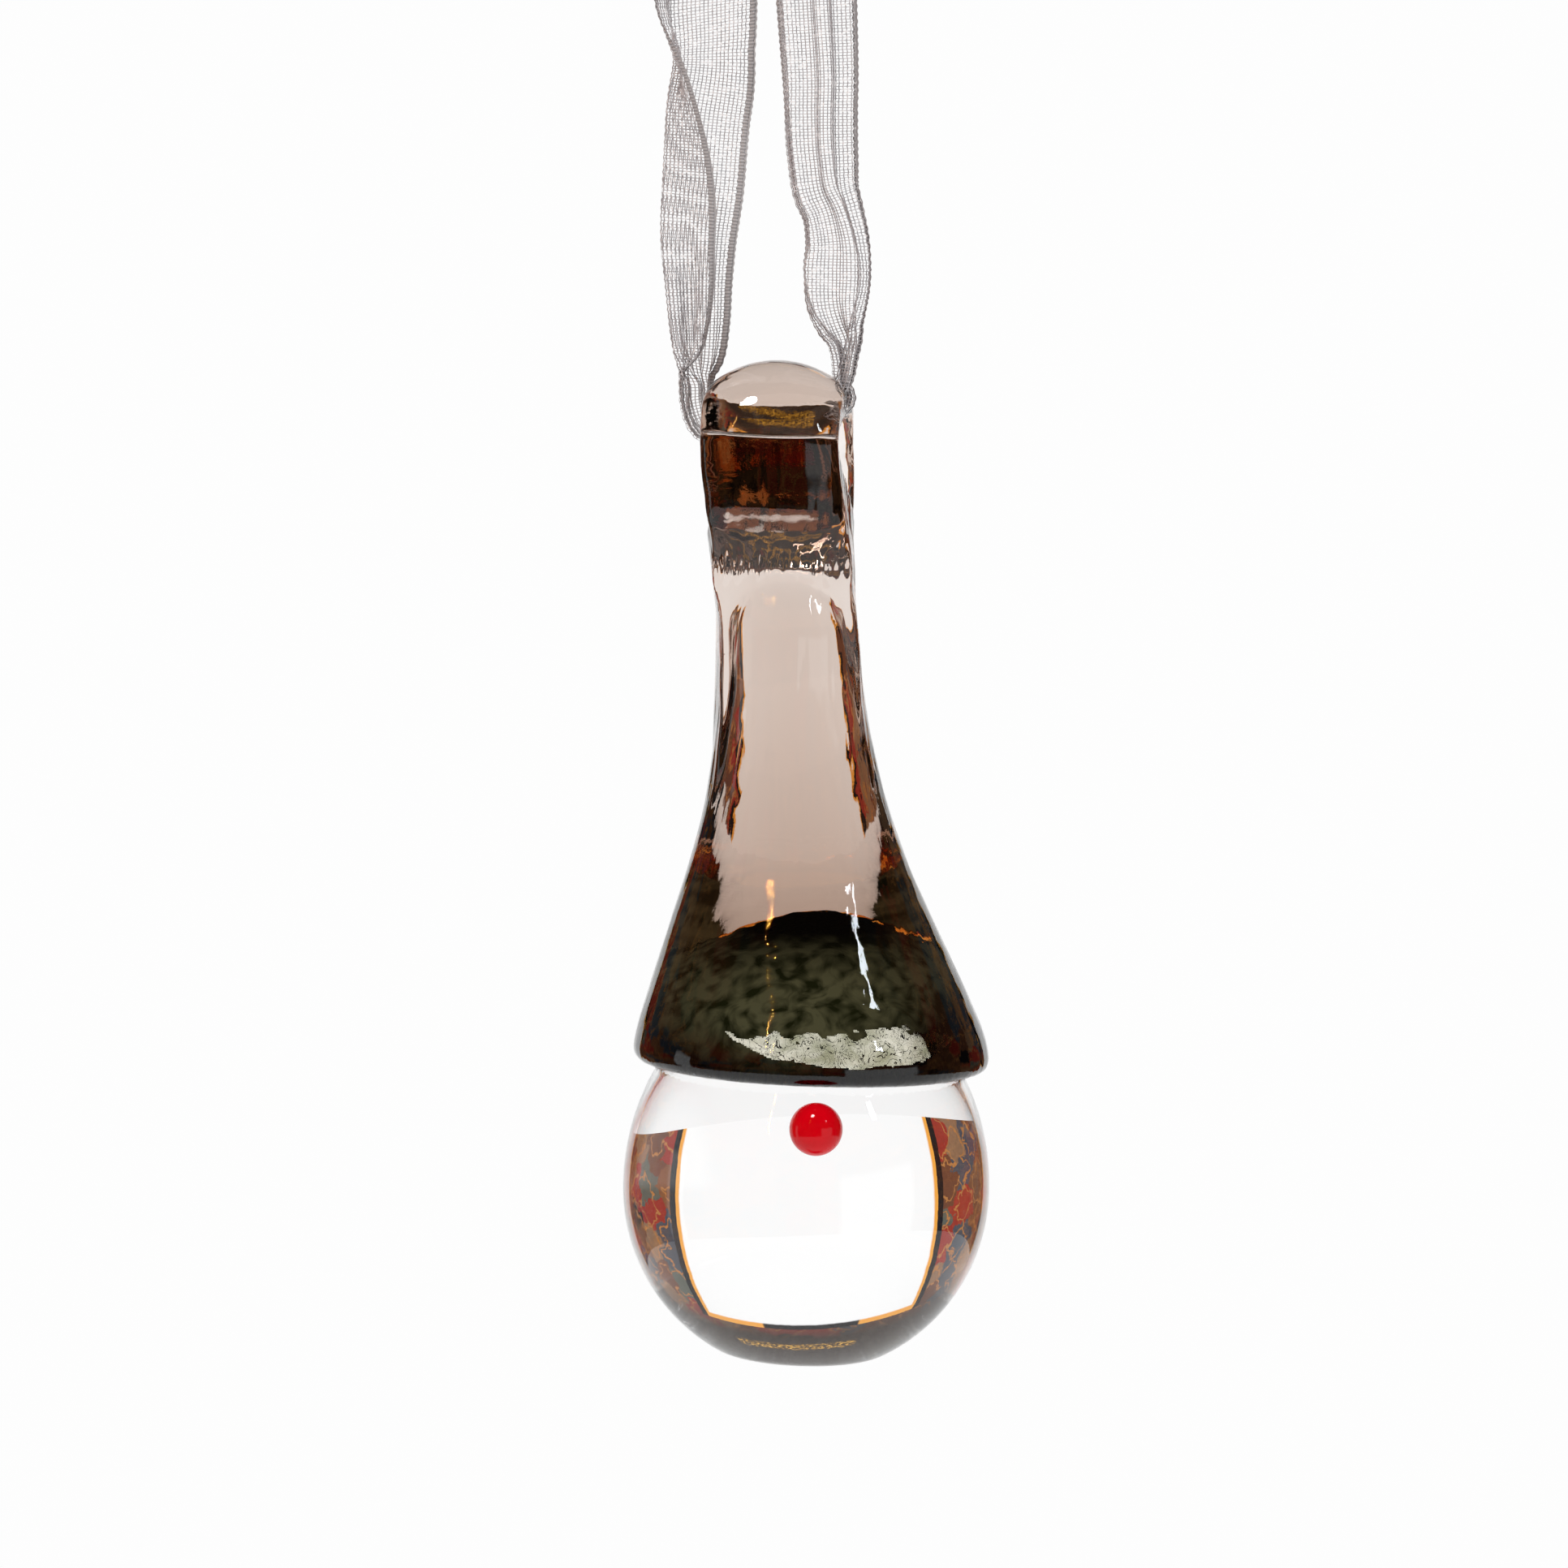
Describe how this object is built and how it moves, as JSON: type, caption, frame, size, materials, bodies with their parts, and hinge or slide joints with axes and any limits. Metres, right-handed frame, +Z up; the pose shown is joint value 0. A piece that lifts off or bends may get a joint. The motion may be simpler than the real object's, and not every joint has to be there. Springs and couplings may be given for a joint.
{
  "type": "hanging glass ornament",
  "caption": "Solid glass gnome ornament: clear round head with a flat base, red nose and a tall smoked hat whose folded top hangs on a loop of sheer ribbon.",
  "frame": {"origin": "the hanging point: inside the apex of the ribbon loop, just under the knot, where a hook or twig bears", "axes": "+Z up, -Y to the front (the nose side), +X to the right of someone looking at the nose"},
  "size_m": [0.0275, 0.0282, 0.1617],
  "materials": {
    "clear_glass": "clear polished",
    "smoked_glass": "smoke brown, polished with faint draw lines",
    "red_glass": "opaque red, polished",
    "organza": "sheer silver-grey organza"
  },
  "bodies": {
    "hanger": {"ribbon_knot": "organza", "ribbon_tail_left": "organza", "ribbon_tail_right": "organza"},
    "ribbon": {"ribbon_loop": "organza"},
    "ornament": {"clear_body": "clear_glass", "hat": "smoked_glass", "nose": "red_glass"}
  },
  "joints": [
    {"name": "turn", "type": "hinge", "parent": "hanger", "child": "ribbon", "pos_m": [0, 0, 0], "axis": [0, 0, 1], "range_deg": [-180, 180]},
    {"name": "swing", "type": "hinge", "parent": "ribbon", "child": "ornament", "pos_m": [-0.00063, 0, -0.0693], "axis": [1, 0, 0], "range_deg": [-35, 35]}
  ]
}
